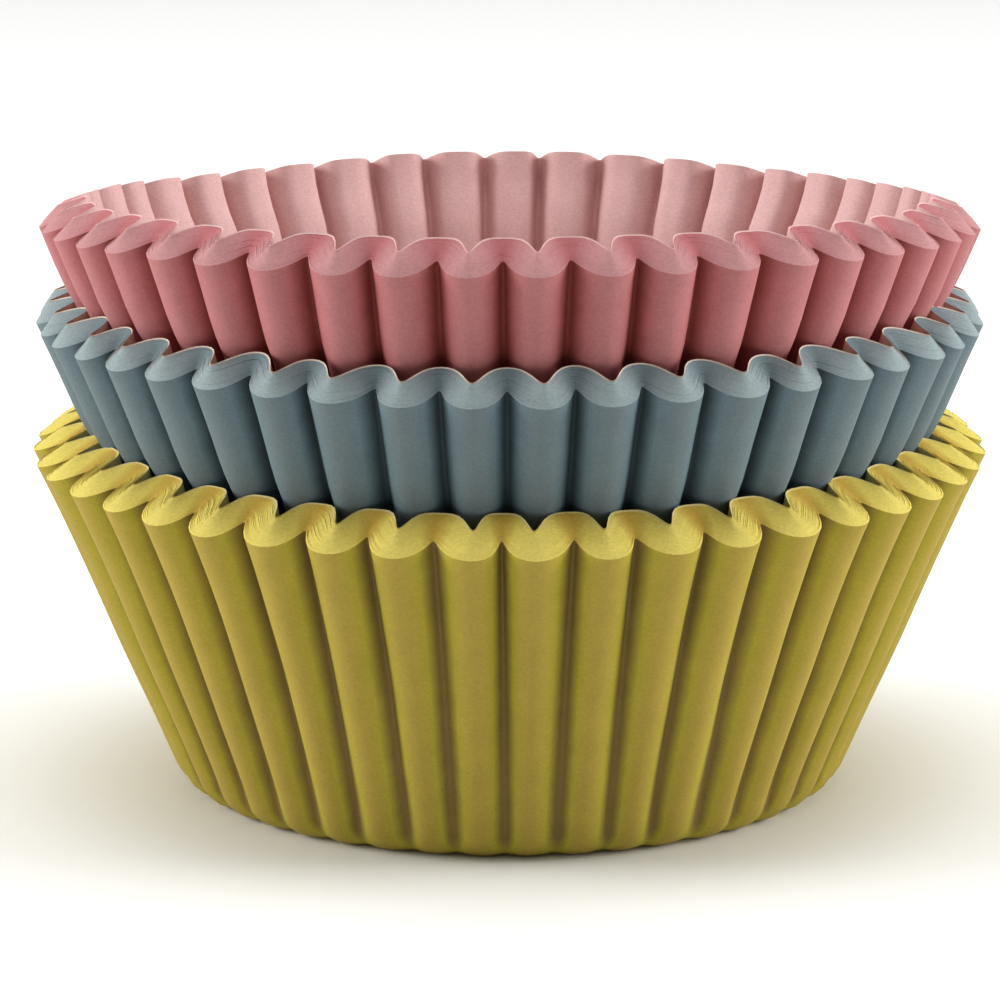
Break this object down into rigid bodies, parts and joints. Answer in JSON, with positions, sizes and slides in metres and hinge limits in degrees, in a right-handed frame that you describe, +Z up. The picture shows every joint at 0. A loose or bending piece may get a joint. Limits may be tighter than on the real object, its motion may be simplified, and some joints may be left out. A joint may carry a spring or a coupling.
{
  "type": "stack of cupcake liners",
  "caption": "Nested stack of pleated paper cupcake liners in yellow, blue and pink packs, open at the top.",
  "frame": {"origin": "middle of the underside of the lowest liner's flat base", "axes": "+Z up along the stack, -Y towards the side where the top pack's rim is raised, +X to the right of that side"},
  "size_m": [0.0776, 0.0779, 0.0508],
  "materials": {
    "yellow_greaseproof_paper": "matt printed greaseproof paper, paler inside",
    "blue_greaseproof_paper": "matt printed greaseproof paper, paler inside",
    "pink_greaseproof_paper": "matt printed greaseproof paper, paler inside"
  },
  "bodies": {
    "root": {"yellow_liner_01": "yellow_greaseproof_paper", "yellow_liner_02": "yellow_greaseproof_paper", "yellow_liner_03": "yellow_greaseproof_paper", "yellow_liner_04": "yellow_greaseproof_paper", "yellow_liner_05": "yellow_greaseproof_paper", "yellow_liner_06": "yellow_greaseproof_paper", "yellow_liner_07": "yellow_greaseproof_paper", "yellow_liner_08": "yellow_greaseproof_paper", "yellow_liner_09": "yellow_greaseproof_paper", "yellow_liner_10": "yellow_greaseproof_paper", "yellow_liner_11": "yellow_greaseproof_paper", "yellow_liner_12": "yellow_greaseproof_paper", "yellow_liner_13": "yellow_greaseproof_paper", "yellow_liner_14": "yellow_greaseproof_paper", "yellow_liner_15": "yellow_greaseproof_paper", "yellow_liner_16": "yellow_greaseproof_paper", "yellow_liner_17": "yellow_greaseproof_paper", "yellow_liner_18": "yellow_greaseproof_paper", "yellow_liner_19": "yellow_greaseproof_paper", "yellow_liner_20": "yellow_greaseproof_paper", "blue_liner_01": "blue_greaseproof_paper", "blue_liner_02": "blue_greaseproof_paper", "blue_liner_03": "blue_greaseproof_paper", "blue_liner_04": "blue_greaseproof_paper", "blue_liner_05": "blue_greaseproof_paper", "blue_liner_06": "blue_greaseproof_paper", "blue_liner_07": "blue_greaseproof_paper", "blue_liner_08": "blue_greaseproof_paper", "blue_liner_09": "blue_greaseproof_paper", "blue_liner_10": "blue_greaseproof_paper", "blue_liner_11": "blue_greaseproof_paper", "blue_liner_12": "blue_greaseproof_paper", "blue_liner_13": "blue_greaseproof_paper", "blue_liner_14": "blue_greaseproof_paper", "blue_liner_15": "blue_greaseproof_paper", "blue_liner_16": "blue_greaseproof_paper", "blue_liner_17": "blue_greaseproof_paper", "blue_liner_18": "blue_greaseproof_paper", "blue_liner_19": "blue_greaseproof_paper", "blue_liner_20": "blue_greaseproof_paper", "pink_liner_01": "pink_greaseproof_paper", "pink_liner_02": "pink_greaseproof_paper", "pink_liner_03": "pink_greaseproof_paper", "pink_liner_04": "pink_greaseproof_paper", "pink_liner_05": "pink_greaseproof_paper", "pink_liner_06": "pink_greaseproof_paper", "pink_liner_07": "pink_greaseproof_paper", "pink_liner_08": "pink_greaseproof_paper", "pink_liner_09": "pink_greaseproof_paper", "pink_liner_10": "pink_greaseproof_paper", "pink_liner_11": "pink_greaseproof_paper", "pink_liner_12": "pink_greaseproof_paper", "pink_liner_13": "pink_greaseproof_paper", "pink_liner_14": "pink_greaseproof_paper", "pink_liner_15": "pink_greaseproof_paper", "pink_liner_16": "pink_greaseproof_paper", "pink_liner_17": "pink_greaseproof_paper", "pink_liner_18": "pink_greaseproof_paper", "pink_liner_19": "pink_greaseproof_paper", "pink_liner_20": "pink_greaseproof_paper"}
  },
  "joints": []
}
